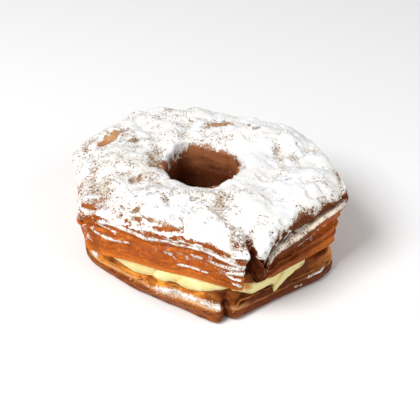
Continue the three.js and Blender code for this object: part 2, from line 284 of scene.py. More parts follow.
class Finish:
    """A procedural material, built from the socket values inwards."""

    def __init__(self, name):
        self.material = bpy.data.materials.new(name)
        self.material.use_nodes = True
        self.material.node_tree.nodes.clear()
        self.place = self.node("TexCoord", out="Object")

    def node(self, kind, settings=None, sockets=None, out=0):
        """A node of this kind, its settings made first, then its sockets set or linked."""
        made = self.material.node_tree.nodes.new("ShaderNode" + kind)
        for key, value in (settings or {}).items():
            if key == "stops":
                ramp = made.color_ramp.elements
                while len(ramp) < len(value):
                    ramp.new(0.5)
                for stop, (position, colour) in zip(ramp, value):
                    stop.position, stop.color = position, (*colour, 1)
            else:
                setattr(made, key, value)
        for key, value in (sockets or {}).items():
            if isinstance(value, Amount):
                self.material.node_tree.links.new(value.socket, made.inputs[key])
            else:
                made.inputs[key].default_value = value
        return Amount(self, made.outputs[out]) if made.outputs else made

    def painted(self, key):
        """A value painted on the piece's own mesh."""
        return self.node("Attribute", {"attribute_name": key}, out="Fac")

    def scaled(self, x, y, z):
        """The place on the piece, stretched for a pattern."""
        return self.node("Mapping", None, {"Vector": self.place, "Scale": (x, y, z)})

    def grain(self, size, detail=2.0, roughness=0.5, place=None, distortion=0.0):
        """Noise from 0 to 1 with features about `size` millimetres wide."""
        return self.node("TexNoise", None, {
            "Vector": place or self.place, "Scale": 1 / (size * MM), "Detail": detail,
            "Roughness": roughness, "Distortion": distortion})

    def mixed(self, amount, first, second):
        """Two colours mixed by an amount."""
        first, second = (c if isinstance(c, Amount) else (*c, 1) for c in (first, second))
        return self.node("Mix", {"data_type": "RGBA"}, {0: amount, 6: first, 7: second}, out=2)

    def closed(self, colour, roughness, height, depth, constants=None):
        """The surface itself: colour, roughness and a bump `depth` millimetres deep."""
        bump = self.node("Bump", None, {"Height": height, "Distance": depth * MM})
        shader = self.node("BsdfPrincipled", None, {
            "Base Color": colour, "Roughness": roughness, "Normal": bump, **(constants or {})})
        self.node("OutputMaterial", None, {"Surface": shader})
        return self.material


def base_reach(turn):
    return outline(BASE_CORNERS, turn) + 0.3 * np.sin(4 * turn + 2)


def crumb_reach(turn, up):
    """The torn crumb's reach, up from 0 at its foot to 1 at the cut."""
    x, y = CRUMB_MEAN * np.cos(turn), CRUMB_MEAN * np.sin(turn)
    steps = [0.7 * bumps(x, y, n * 3, 5, 21) + 0.4 * bumps(x, y, n * 3, 2.6, 22) for n in range(4)]
    at = np.clip(up * 3, 0, 2.999)
    torn = sum(step * np.maximum(0, 1 - np.abs(at - n)) for n, step in enumerate(steps))
    return base_reach(turn) - around(LEDGE_WIDTH, turn) - around(CRUMB_BATTER, turn) * up + torn


turns = directions(640, crowd=(283,))
base_hole = around(HOLE_REACH, turns) - 0.4
base_opened = wedge(BASE_SEAMS, turns, WALL_MEAN)
base_out = base_reach(turns) - base_opened
band_top = around(CRUST_BAND, turns)
crumb_foot = band_top + LEDGE_RISE
CRUMB_ROWS = 36
crumb_rows = [(crumb_reach(turns, up) - base_opened * (1 - up),
               crumb_foot + (BASE_TOP - CRUMB_TOP_DROP - crumb_foot) * up)
              for up in np.arange(CRUMB_ROWS) / (CRUMB_ROWS - 1)]
base_inner = crumb_rows[-1][0] - 1.2
base_foot = base_out - around(FOOT_TUCK, turns)
section = [
    *stretch(6, (base_hole + 1.2, 0), (base_foot - UNDERSIDE_ROUND, 0)),
    *stretch(9, (base_foot - UNDERSIDE_ROUND, 0), (base_foot - UNDERSIDE_ROUND * 0.4, 0),
      (base_foot, UNDERSIDE_ROUND * 0.5), (base_foot, UNDERSIDE_ROUND)),
    *stretch(9, (base_foot, UNDERSIDE_ROUND), (base_out, band_top - 0.4)),
    *stretch(5, (base_out, band_top - 0.4), (base_out, band_top), (base_out - 0.1, band_top + 0.2),
      (base_out - 0.5, band_top + 0.3)), *stretch(5, (base_out - 0.5, band_top + 0.3), crumb_rows[0]),
    *crumb_rows, *stretch(6, (base_inner, BASE_TOP), (base_hole + 1, BASE_TOP)),
    *stretch(12, (base_hole + 1, BASE_TOP), (base_hole, BASE_TOP - 1), (base_hole, 1.4),
      (base_hole + 1.2, 0))]
base_grid = to_grid(turns, section)
BAND_ROW, CRUMB_ROW, TOP_ROW = 6, 34, 34 + CRUMB_ROWS  # where the band, the crumb and the top begin
rows = np.arange(base_grid.shape[1])
on_crumb = smooth(rows, CRUMB_ROW - 3, CRUMB_ROW + 1) * smooth(rows, TOP_ROW - 2, TOP_ROW - 5)
on_band = smooth(rows, BAND_ROW, BAND_ROW + 7) * smooth(rows, CRUMB_ROW - 3, CRUMB_ROW - 6)
x, y, z = np.moveaxis(base_grid, 2, 0)
# Torn crumb: flat-lying cells and leaf edges. Crust band: shallow waves and frying blisters.
cells = smooth(noise(x / 3.8, y / 3.8, z / 2, 24), 0.55, 0.85)
shreds = 1 - np.abs(bumps(x / 4, y / 4, z + 0.3 * (x + y) / 4, 2.2, 25)) * 2
crumb_relief = (0.4 * np.maximum(shreds, -0.5) + 0.4 * bumps(x, y, z, 4.5, 27)
                + 0.08 * bumps(x, y, z, 1.3, 26) - 0.7 * cells)
band_relief = 0.16 * bumps(x / 3, y / 3, z, 1.4, 28) + 0.1 * bumps(x, y, z, 1.2, 29)
turn_grid = np.broadcast_to(turns[:, None], x.shape)
base_dust = streaked(turn_grid, z, BASE_STREAKS, CRUMB_MEAN).max(0) * smooth(np.hypot(x, y), 28, 31)
base_dust = base_dust * (0.4 + 0.7 * noise(x / 1.4, y / 1.4, z, 30)
                         + 0.6 * noise(x / 3.4, y / 3.4, z / 2, 38))
relief = crumb_relief * on_crumb + band_relief * on_band
relief = eased(relief) * smooth(z, 0.0, 0.5) + 0.3 * smooth(base_dust, 0.35, 0.9)
base_grid = base_grid + facing(base_grid) * relief[..., None]
# The crust band is a little darker all round. Painted shade: the dough is darkened in the crumb's
# cells and dips, in the seams and, most, on the right, which faces away from the key light; there
# the crumb is browned rather than golden and its pale rim is toned down. Golden elsewhere, pale on
# the crumb's lower rim and on the torn edge right of the notch.
band_dark_and_shade = on_band * (0.2 + 0.4 * smooth(degrees_off(turn_grid, 315), 40, 20))
base_painted_shade = 0.35 * cells * on_crumb - 0.5 * np.minimum(relief, 0) * on_crumb + base_opened[:, None] / 4
in_shade, right_side = near_turn(turn_grid, 308, 22), near_turn(turn_grid, 318, 26)
base_painted_shade = np.clip(base_painted_shade + band_dark_and_shade + 0.7 * on_crumb * in_shade + 0.3 * right_side, 0, 1)
golden_crumb = on_crumb * (0.04 + 0.96 * smooth(degrees_off(turn_grid, 307), 18, 42))
rim_line = fading(rows - CRUMB_ROW + 1, 2.2) * (0.4 + 0.8 * noise(x / 5, y / 5, z, 35))
torn_edge = (near_turn(turn_grid, 290.5, 5.5) * smooth(rows, CRUMB_ROW - 3, CRUMB_ROW - 1)
             * smooth(rows, CRUMB_ROW + 8, CRUMB_ROW + 2))
rim_line = np.maximum(rim_line * (1 - 0.6 * in_shade), torn_edge * (0.7 + 0.6 * noise(x, y, z, 37)))
base_pastry = press_ring("base_crust", base_grid, {
    "dust": base_dust, "hollow": base_painted_shade, "crumb": golden_crumb, "rim": rim_line})

SUGAR_WARM, SUGAR_COOL = (0.91, 0.893, 0.86), (0.885, 0.89, 0.908)
SUGAR_FILM, SUGAR_WARM_LEDGE = (0.64, 0.56, 0.46), (0.93, 0.80, 0.64)
BROWN_DEEP, BROWN_PALE = (0.15, 0.031, 0.004), (0.38, 0.105, 0.013)
GOLD_DEEP, GOLD_PALE = (0.46, 0.12, 0.012), (0.84, 0.35, 0.05)
# The last colour here is painted shade, mixed in where the dough is shaded.
TORN_PALE, DOUGH_SHADE = (0.86, 0.50, 0.22), (0.105, 0.020, 0.003)


def sugared(finish, crust_colour, crust_roughness, crust_height, dust, streaks=None, warmth=None):
    """Powdered sugar over a crust: grains where dust is about 0.5, a thin film you see the crust
    through, then a thick white layer above 1. Gives colour, roughness and bump height."""
    fine = finish.grain(0.48, 2.0, 0.6) - 0.5
    medium = finish.grain(1.2, 2.0, 0.55) - 0.5
    ragged = dust + fine * 1.8 + medium * 0.55
    if streaks:
        ragged = ragged + (streaks - 0.5) * 1.1
    specks = finish.grain(0.62, 1.0).eased(0.58, 0.68) * finish.grain(4.5).eased(0.36, 0.62)
    ragged = ragged - specks * dust.eased(0.85, 1.2, 1.2, 0.35)
    cover = ragged.eased(0.42, 0.58)
    thick = (dust + fine * 0.9 + medium * 1.0).eased(0.5, 1.05)
    white = finish.mixed(finish.grain(7.0, 1.0).eased(0.35, 0.65), SUGAR_WARM, SUGAR_COOL)
    # On the ledge the sugar is warmed: partly the crust seen through thin sugar, partly painted warm bounce
    # light in the shade under the crown.
    if warmth:
        white = finish.mixed(warmth, white, SUGAR_WARM_LEDGE)
    colour = finish.mixed(cover, crust_colour, finish.mixed(thick, SUGAR_FILM, white))
    powder = finish.grain(0.3, 3.0, 0.7) + medium
    height = crust_height * (1 - cover) + (cover * 0.4 + thick * 0.4 + powder * 0.7) * cover
    roughness = crust_roughness * (1 - cover) + cover * 0.95
    return colour, roughness, height


fried_dough = Finish("fried_dough")
layers = fried_dough.grain(3.4, 2.0, 0.5, fried_dough.scaled(1, 1, 1.8), 0.3)
flecks = fried_dough.grain(0.9, 2.0, 0.6)
browned = fried_dough.mixed((layers + (flecks - 0.5) * 0.4).eased(0.3, 0.7), BROWN_DEEP, BROWN_PALE)
golden = fried_dough.mixed((layers + (flecks - 0.5) * 0.25).eased(0.32, 0.7), GOLD_DEEP, GOLD_PALE)
crumbly = fried_dough.painted("crumb")
dough = fried_dough.mixed(crumbly, browned, golden)
dough = fried_dough.mixed(fried_dough.painted("rim") * 0.8, dough, TORN_PALE)
# Painted shade: darker dough in the hollows, the seams and on the right.
dough = fried_dough.mixed(fried_dough.painted("hollow"), dough, DOUGH_SHADE)
base_look = sugared(fried_dough, dough, 0.42 + crumbly * 0.1, flecks * 0.6 + layers * 0.6,
                    fried_dough.painted("dust"))
base_pastry.data.materials.append(fried_dough.closed(*base_look, 0.3, {"Specular IOR Level": 0.1}))
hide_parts("base_pastry")
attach(base_pastry, "root")


# ---- Torn flakes ----
# Thin leaves of the same dough, still fixed to the base by one edge, that tore up and curled
# when it was split: a folded pair and a long rim at the front left, a pale torn edge beside the
# notch, and more round the sides.
# How far each stands out, how far it rises, sugar on it, direction and height along it.
FLAKES = [
    (0.35, 0.3, 0.2, (204, 5.3), (213, 5.1), (222, 4.6), (228, 4.4)),
    (1.6, 0.9, 0, (230, 4.2), (234, 5.9), (237.6, 8)),
    (1.9, 0.5, 0, (237.2, 8.1), (239.5, 7), (242.4, 4.6)),
    (1.2, 0.5, 0.3, (285.6, 3.6), (288, 5.4), (291, 6.6), (297, 6.4), (303, 5.8)),
    (0.9, 0.5, 0.5, (245, 6.6), (253, 7.6), (259, 7.2)), (0.9, 0.5, 0, (304, 6.4), (312, 7.6), (318, 7)),
    (1.1, 0.4, 0.5, (318, 5.4), (330, 6.2), (338, 5.8)), (0.9, 0.5, 0, (338, 8.4), (344, 9.2), (350, 8.6)),
    (1.2, 0.7, 0.2, (352, 6), (4, 7.2), (14, 6.6)), (1.3, 0.6, 0.3, (22, 6.8), (34, 8), (44, 7)),
    (1.1, 0.5, 0, (50, 6), (60, 6.6), (70, 5.8)), (1.3, 0.7, 0.2, (76, 7.6), (86, 8.6), (95, 7.8)),
    (1.1, 0.6, 0.4, (100, 6.2), (112, 7), (122, 6.4)), (1.3, 0.6, 0, (128, 7.4), (138, 8.2), (148, 7.4)),
    (1.1, 0.5, 0.3, (150, 6), (162, 7), (172, 6.2)), (1, 0.5, 0.2, (176, 5.6), (188, 6.8), (200, 6))]
FLAKE_THICK = 0.3
FLAKE_TUCK = 1.8  # how steeply the fixed edge goes into the base


def base_wall(turn, height):
    """Reach of the base's outside at a direction and height, before its fine relief."""
    foot = around(CRUST_BAND, turn) + LEDGE_RISE
    up = np.clip((height - foot) / (BASE_TOP - CRUMB_TOP_DROP - foot), 0, 1)
    wall = np.where(height < foot - 0.4, base_reach(turn), crumb_reach(turn, up))
    return wall - wedge(BASE_SEAMS, turn, WALL_MEAN) * (1 - up)


bm = bmesh.new()
dust_layer, crumb_layer, rim_layer = [bm.verts.layers.float.new(key) for key in ("dust", "crumb", "rim")]
for number, (stand_out, rise, sugar, *places) in enumerate(FLAKES):
    flake_turns = np.unwrap(np.radians([turn for turn, _ in places]))
    flake_heights = [height for _, height in places]
    leaf = bmesh.ops.create_grid(bm, x_segments=30, y_segments=6, size=0.5)["verts"]
    leaf_faces = {face for vert in leaf for face in vert.link_faces}
    under = bmesh.ops.extrude_face_region(bm, geom=list(leaf_faces), use_keep_orig=True)["geom"]
    under = [part for part in under if isinstance(part, bmesh.types.BMVert)]
    bmesh.ops.translate(bm, verts=under, vec=(0, 0, 1))
    # Along the leaf, across it from the fixed edge to the free one, and from its face to its back.
    for vert in leaf + under:
        u, v, back = vert.co.x + 0.5, vert.co.y * 1.4 + 0.2, vert.co.z
        bump = bumps(9 * u, number * 5.3, 3 * v, 1, 71)
        free = max(v, 0.0) * (0.25 + 0.75 * math.sin(math.pi * np.clip(u, 0, 1)) ** 0.5)
        at = u * (len(places) - 1)
        turn = np.interp(at, range(len(places)), flake_turns)
        height = np.interp(at, range(len(places)), flake_heights) + rise * free * (1 + 0.5 * bump)
        curl = stand_out * free ** 1.5 * (0.8 + 0.7 * bump)
        reach = base_wall(turn, height) + curl - FLAKE_TUCK * max(-v, 0) - FLAKE_THICK * back
        vert.co = Vector((reach * math.cos(turn) + HOLE_AT[0], reach * math.sin(turn) + HOLE_AT[1],
                          height + 0.15 * back)) * MM
        vert[dust_layer] = sugar * (0.6 + 0.6 * bump) * free
        # Painted shade: towards the right, round 311 degrees, the flakes are browned rather than golden and
        # their pale rim is toned down.
        golden = smooth(degrees_off(turn, 311), 17, 40)
        vert[crumb_layer], vert[rim_layer] = 0.15 + 0.85 * golden, 0.1 + 0.25 * golden
bmesh.ops.recalc_face_normals(bm, faces=bm.faces)
torn_flakes = lay_out("torn_flakes", bm)
torn_flakes.data.materials.append(fried_dough.material)
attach(torn_flakes, "root")


# ---- Cream ----
# Set pastry cream, piped on the base before the lid went on. The lid pressed it out into
# smooth lobes that lap over each other and hang over the torn crumb.
FOOT_CORNERS = [(344, 52.8), (36, 44.8), (114, 45), (161, 44.2), (209.5, 44.2), (290.5, 45.2)]
CUT_GAP = 3.4
CLEARANCE = 0.35
CREAM_HANG = [
    (4, -0.6), (16, 2.4), (30, 1), (40, -1), (58, 1.6), (78, 2.8), (98, 1), (116, -1), (134, 1.4),
    (149, 2.6), (164, 0.2), (180, -1.4), (200, -1.4), (206, 0.4), (214, 1), (222, 1.4), (231, 2.3),
    (237, 2.1), (243, 0.9), (250, 1.2), (256, 0.6), (262, 1.5), (268, 1.2), (274, 0.5), (280, 0.2),
    (286, 0.3), (291, 1.4), (298, 3), (304, 2.5), (307.8, 3), (310.2, 5.9), (312.6, 4.2), (314.6, 2.9),
    (317, 1.9), (322, 1.05), (327, 0.35), (331, -0.4), (335, -1.4), (350, -1.4)]
CREAM_PROUD = [(0, 3), (245, 3), (256, 2.2), (266, 1), (284, 0.6), (293, 2.4), (305, 3)]  # beyond the crumb
# Where one lobe laps over the next.
CREAM_FOLDS = [12, 30, 52, 70, 90, 112, 127, 143, 160, 203, 243, 258, 290, 312, 326]
CREAM_BULGE, CREAM_LAP = 0.8, 0.6
CREAM_RETREAT = 7  # where none shows, it stays this far behind the crumb's edge
CREAM_INSET = 0.8
CREAM_HOLE_GAP = 4.5
STAIN = dict(turn=294, height=12.6, half=1.45)  # syrup from the crust above


def dents(turn):
    return 0.5 * np.sin(5 * turn + 1) + 0.3 * np.sin(9 * turn)


def foot_reach(turn):
    return outline(FOOT_CORNERS, turn) + dents(turn)


def lid_cut(turn):
    return BASE_TOP + CUT_GAP + 0.4 * np.sin(2 * turn + 0.4) + 0.3 * np.sin(5 * turn + 1.2)


turns = directions(640, crowd=(250, 305))
x, y = CRUMB_MEAN * np.cos(turns), CRUMB_MEAN * np.sin(turns)
hang = around(CREAM_HANG, turns) + 0.3 * bumps(x, y, 0, 3.4, 31)
shown = smooth(hang, -1.2, 0.6)
cream_top = lid_cut(turns) - CLEARANCE
cream_floor = BASE_TOP + 0.1
cream_inner = around(HOLE_REACH, turns) + CREAM_HOLE_GAP
crumb_edge = base_reach(turns) - around(LEDGE_WIDTH, turns) - around(CRUMB_BATTER, turns)
roomy = np.minimum(foot_reach(turns) - CREAM_INSET, crumb_edge + around(CREAM_PROUD, turns))
face = crumb_edge - CREAM_RETREAT + (np.maximum(crumb_edge + 1, roomy) - crumb_edge + CREAM_RETREAT) * shown
hung = np.maximum(0, hang)
tip = cream_floor - 0.6 - hung
behind = np.minimum(crumb_edge + 0.15, face - 1.2)
section = [
    *stretch(5, (cream_inner, cream_floor), (behind - 0.4, cream_floor)),
    *stretch(8, (behind - 0.4, cream_floor), (behind + 0.5, cream_floor - 0.3),
      (behind + 0.2, tip + hung * 0.5), (behind + 0.5, tip + 0.2)),
    *stretch(31, (behind + 0.5, tip + 0.2), (face - 0.2, tip - 0.6), (face + 1, cream_top - 0.4),
      (face - 0.9, cream_top)), *stretch(5, (face - 0.9, cream_top), (cream_inner, cream_top)),
    *stretch(3, (cream_inner, cream_top), (cream_inner, cream_floor))]
cream_grid = to_grid(turns, section)
rows = np.arange(cream_grid.shape[1])
on_face = smooth(rows, 8, 16) * smooth(rows, 46, 38) * shown[:, None]
x, y, z = np.moveaxis(cream_grid, 2, 0)
# Each lobe stands out where it laps over the one before, then sinks; the laps lean with height.
leaning = np.degrees(turns)[:, None] - (z - 11) * 0.9 + 0.8 * bumps(x, y, z, 4, 36)
part = step_at(CREAM_FOLDS, leaning)[1]
swells = CREAM_BULGE * (np.sin(math.pi * part) ** 0.6 - 0.7)
swells -= CREAM_LAP * (part - 0.4) * smooth(part, 0.0, 0.07)
swells += 0.35 * bumps(x, y, z * 1.3, 6, 32) + 0.12 * bumps(x, y, z, 2.5, 33)
cream_grid = cream_grid + facing(cream_grid) * (eased(swells, 3) * on_face)[..., None]
# Painted shade: the cream is darker and more orange in the creases where one lobe laps over the next.
shade_in_folds = smooth(np.abs(part - 0.5), 0.44, 0.5) * on_face
stain_off = np.hypot(between(turns[:, None], math.radians(STAIN["turn"])) * WALL_MEAN,
                     z - STAIN["height"] + 0.3 * bumps(x, y, z, 1.5, 39))
stained = fading(stain_off, STAIN["half"], 3) * on_face
cream_piece = press_ring("cream", cream_grid, {"crease": shade_in_folds, "stain": stained})

CUSTARD_DEEP, CUSTARD_PALE = (0.86, 0.69, 0.27), (0.92, 0.79, 0.37)
FOLD_SHADE, SYRUP = (0.72, 0.42, 0.11), (0.76, 0.27, 0.02)
pastry_cream = Finish("pastry_cream")
tone = pastry_cream.grain(5.0).eased(0.3, 0.7)
custard = pastry_cream.mixed(tone, CUSTARD_DEEP, CUSTARD_PALE)
# Painted shade in the creases.
custard = pastry_cream.mixed(pastry_cream.painted("crease") * 0.55, custard, FOLD_SHADE)
custard = pastry_cream.mixed(pastry_cream.painted("stain") * 0.95, custard, SYRUP)
cream_piece.data.materials.append(pastry_cream.closed(
    custard, pastry_cream.grain(2.0).eased(0.2, 0.8, 0.26, 0.42), pastry_cream.grain(0.8) + tone * 2,
    0.1, {"Subsurface Weight": 0.12}))
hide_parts("cream_filling")
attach(cream_piece, "root")


# ---- Lid ----
# The upper half: four thick leaves that fade and sink round the ring, fried brown, with an
# open corner seam at the front and a flap of leaf that hangs over it. The lumpy crown is thick
# with sifted sugar, which also lies in streaks on the leaves' lips and thins down the walls.
SHOULDER_CORNERS = [(348, 53.8), (36, 46.6), (114, 47), (161, 47.2), (209, 46), (290, 48)]
SHOULDER_HEIGHT = 31.6
TOTAL_HEIGHT = 37.6
THIRD_LIP = [
    (0, 0.82), (20, 0.7), (272, 0.7), (288, 0.76), (298, 0.84), (313, 0.84), (320, 0.82), (325, 0.825),
    (333, 0.89), (346, 0.91)]
LEAF_PROUD = (0.4, 0.6, 1, 0.5)
RECESS_SHARE = (0, 0.5, 0.6, 1)
LEDGE_PROUD = [(292, 0), (300, 0.7), (340, 0.7), (350, 0)]  # the third leaf stands out to the right
LEAF_RECESS = [(10, 1.1), (100, 1.4), (200, 0.7), (250, 0.7), (288, 0.9), (297, 2), (320, 1.8), (346, 1.6)]
LEAF_STAND = [(0, 1), (150, 1), (205, 0.6), (225, 0.3), (262, 0.3), (290, 0.4), (300, 0.9), (345, 1)]
LEAF_WAVE = 0.1
LEAF_DROOP = [
    (0, 1), (120, 1.2), (200, 1), (262, 1), (288, 1.2), (292.5, 0.8), (294.5, 0.8), (296.5, 1.7),
    (298.5, 4.2), (300.6, 2.1), (303, 1.4), (308, 1), (318, 1)]
CROWN_PLACE = 0.46
RIM_DROP = 1.5
LID_SEAMS = [
    dict(turn=214, wall=1.2, width=2.4, valley=0.6, spread=4),
    dict(turn=345, wall=1.4, width=3, valley=0.6, spread=4),
    dict(turn=14, wall=1, width=3.4, valley=1.8, spread=3.2),
    dict(turn=118, drift=-1, wall=3, width=3, valley=1.2, spread=4),
    dict(turn=38, wall=1.4, width=3, valley=0.9, spread=4),
    dict(turn=162, wall=1.4, width=3, valley=1, spread=4)]
SEAM_RISE = (17, 31)  # heights over which they narrow
# The open seam at the front: height, direction, half width to its left, to its right, depth.
FRONT_SEAM = [
    (14, 291.6, 1.2, 2, 0.8), (18, 292.4, 1.9, 4.4, 1.4), (21, 293, 2.4, 4.2, 3.6),
    (24.5, 293.3, 2.8, 2.8, 6.5), (28, 293.6, 2.9, 1.2, 5.5), (31, 293.9, 2.9, 0.8, 4.6),
    (34, 294.2, 2.2, 0.8, 3.2)]
FRONT_VALLEY = dict(turn=293.8, valley=2.2, spread=4)
SET_BACK = [(0, 0), (289, 0), (292.5, 2.4), (297.5, 2.6), (302, 1.1), (307, 0)]  # under the flap
# Troughs in the crown: the places they run through, from the middle of the hole, depth, width.
TROUGHS = [
    (((10.7, -13.3), (9.3, -21), (7.2, -29), (10, -36)), 1, 3.4),
    (((29.6, 12.5), (30, 6.2), (27.2, -0.5), (24, -8.8)), 0.9, 2.2),
    (((38.3, 9.4), (35.8, 3.2), (33, -1.6), (32, -5.2)), 0.8, 2),
    (((-22, 24), (-17, 18), (-13, 9)), 0.8, 2.6), (((-6, 38), (-4, 27), (-5, 17)), 0.8, 2.6)]
# Where the sugar is thin or gone: place, half sizes, turn, how much is missing.
THIN = [
    ((-31, 17), (5.8, 1.6), 50, 1.05), ((-34.6, 13.2), (1.8, 0.9), 20, 1),
    ((-22.8, 12.8), (1.8, 1.6), 0, 0.5), ((8.2, 24.2), (4.6, 2), 12, 0.95),
    ((17.8, 23.5), (1.5, 0.8), 0, 0.5), ((21, 19.7), (1.8, 0.9), 20, 0.5),
    ((-26.6, -10.4), (4, 2.6), 0, 0.2), ((-31.6, -15), (3.4, 2.6), 10, 0.25),
    ((-19.9, -25.7), (1.6, 1), 0, 0.6), ((-10.2, -24.1), (1.4, 1.2), 0, 0.5),
    ((-1.6, -22.5), (1.6, 1.2), 0, 0.35), ((-17.8, -10.2), (4, 2.6), 20, 0.3),
    ((9, -25), (4, 9), -10, 0.35), ((28.6, 4), (1.8, 8), 10, 0.3), ((34.5, 2), (1.6, 6), 15, 0.3),
    ((14, -38), (4, 4), 0, 0.35), ((-33, -3), (5, 9), 0, 0.16), ((-38, -12), (4, 6), 10, 0.12),
    ((20, -33), (5, 2), 60, 0.2), ((-15, 1), (3, 5), 10, 0.45), ((-24, 20), (4, 3), 40, 0.25),
    ((-36.2, -22.8), (4, 1.5), -20, 0.6)]
# Where the sugar on the wall begins and where it is thick: direction, heights.
SUGAR_EDGE = [
    (20, 27, 34), (70, 27, 33.6), (105, 25, 32.6), (150, 23, 31), (180, 16, 31.8), (196, 19, 35),
    (204, 25.5, 36.4), (211, 28.4, 36), (218, 28, 34.6), (226, 27.6, 33), (250, 27.6, 32.4),
    (284, 26.5, 33), (291, 26, 32), (295, 27, 30.5), (298.5, 25.5, 29.5), (301.5, 29.2, 34.6),
    (307, 31, 36.2), (317, 31, 36.2), (330, 30.3, 35.8), (345, 29.5, 35)]
# Down to where it lies in the hole.
HOLE_EDGE = [
    (0, 35.6), (30, 35.2), (60, 34.2), (84, 34.6), (95, 35.4), (108, 32.5), (128, 29), (142, 28.5),
    (156, 33), (168, 36), (188, 36.2), (205, 35), (240, 35), (300, 35)]
# Streaks of sugar on the wall: half height, how much, direction and height along each.
STREAKS = [
    (1.2, 0.97, (219, 30.6), (225, 31), (230, 30.2), (235, 29.3), (241, 28.7), (247, 28.6)),
    (0.75, 0.92, (246, 28.6), (254, 29.2), (258, 28.4), (265.7, 28.4), (272, 29.2)),
    (1.35, 1, (268, 29), (273, 29.2), (278.6, 28.9), (283.5, 28.2), (289, 26.2)),
    (0.6, 0.82, (216.7, 29.9), (220.6, 28.3), (225, 27.3)),
    (0.8, 0.97, (214.8, 26.6), (217, 25.6), (220, 23.8), (226.4, 23.6), (230.9, 24.1)),
    (1.1, 0.85, (253.6, 24.6), (255.8, 23.8)), (1, 0.88, (268, 25.9), (271.4, 25.4)),
    (0.8, 0.75, (264.4, 24.4), (265.6, 23.4)), (0.5, 0.7, (257.4, 22.8), (258.4, 21.6)),
    (0.65, 0.97, (259.9, 19.7), (265.7, 19.9), (270.3, 19.9), (274.8, 19.2)),
    (1, 0.9, (276.4, 25.7), (279, 24.9), (284, 25), (289, 25.6)),
    (1.2, 1, (282.5, 21.9), (286, 23), (290, 22.8)),
    (2.4, 0.23, (248, 26.6), (258, 26), (270, 25), (278, 24)), (3, 0.27, (196, 29), (203, 28), (208, 23)),
    (0.6, 0.85, (283.6, 20.9), (286, 20.1), (288, 20)), (0.6, 0.8, (286, 17.8), (288.6, 16.9)),
    (0.6, 0.85, (304.5, 28.2), (307, 30.6), (308.4, 32.4)),
    (0.7, 0.9, (308.5, 27.8), (311.5, 29.8), (313.8, 31.6)),
    (0.5, 0.85, (305, 27), (312, 26.9), (318, 26.6)),
    (0.3, 0.7, (322, 20.8), (329.7, 21.6), (336, 24), (339.4, 24.6)),
    (0.8, 0.6, (180, 27), (196, 26), (207, 27)), (0.8, 0.55, (176, 22), (188, 23)),
    (0.6, 0.6, (198, 21), (208, 19)), (0.5, 0.65, (211, 27), (212, 20)),
    (0.9, 1, (0, 27), (16, 27.6), (34, 27)), (0.8, 0.95, (40, 26.6), (66, 27.4)),
    (0.9, 0.95, (70, 27), (98, 27)), (0.8, 0.8, (98, 22), (112, 21.4)),
    (0.9, 0.95, (124, 27.4), (158, 26.8)), (0.7, 0.8, (56, 21), (72, 21.6)),
    (0.7, 0.75, (150, 22), (168, 21.4)), (0.6, 0.75, (22, 18), (38, 18.4))]
# Runs just over the streaks where the crust shows through: half height, how much is missing,
# direction and height along each.
BARE = [
    (0.9, 1.2, (216, 33.4), (226, 32.8), (232, 32), (239, 31.2), (247, 30.9), (256, 31), (267, 30.9),
      (277, 31.4), (284.5, 31), (288.5, 29.4)),
    (1.3, 0.95, (214, 35), (222, 35), (232, 34.6), (243, 34.2), (252, 33.6), (262, 32.8)),
    (1.2, 0.5, (216, 31.6), (221, 31.2)), (0.8, 0.3, (226, 27.6), (236, 27)),
    (1.3, 0.8, (0, 31), (60, 31.6), (120, 31), (170, 31.4))]
# Sugar on the right-hand ledge, under the topmost leaf: direction, how much.
LEDGE_SUGAR = [
    (270, 0), (297.5, 0), (299.5, 0.25), (301.5, 0.8), (303, 0.8), (312, 0.85), (319, 1), (336, 1),
    (343, 0.7), (348, 0)]


def shoulder_reach(turn):
    return outline(SHOULDER_CORNERS, turn) + dents(turn)


def front_seam(turn, reach, height):
    """How deep the open seam at the front cuts in: steep on its left, slanting on its right."""
    heights, *rest = np.array(FRONT_SEAM).T
    middle, left, right, depth = (np.interp(height, heights, values) for values in rest)
    off = between(turn, np.radians(middle)) * reach
    open_part = np.maximum(0, 1 - np.abs(off) / np.where(off < 0, left, right))
    return depth * open_part ** np.where(off < 0, 0.45, 0.8)


def crown(x, y, reach):
    """Height that lumps and the valleys of the seams add to the crown."""
    lumps = 1.5 * bumps(x, y, 0, 13, 11) + 1.1 * bumps(x, y, 0, 6.5, 12) + 0.4 * bumps(x, y, 0, 3, 13)
    along = smooth(np.hypot(x, y) / reach, 0.42, 0.95)
    for seam in (FRONT_VALLEY, *LID_SEAMS):
        turned = between(np.arctan2(y, x), math.radians(seam["turn"]))
        off = np.where(np.abs(turned) < math.pi / 2, np.hypot(x, y) * np.sin(turned), 1e3)
        lumps -= seam["valley"] * along * fading(off, seam["spread"])
    return lumps


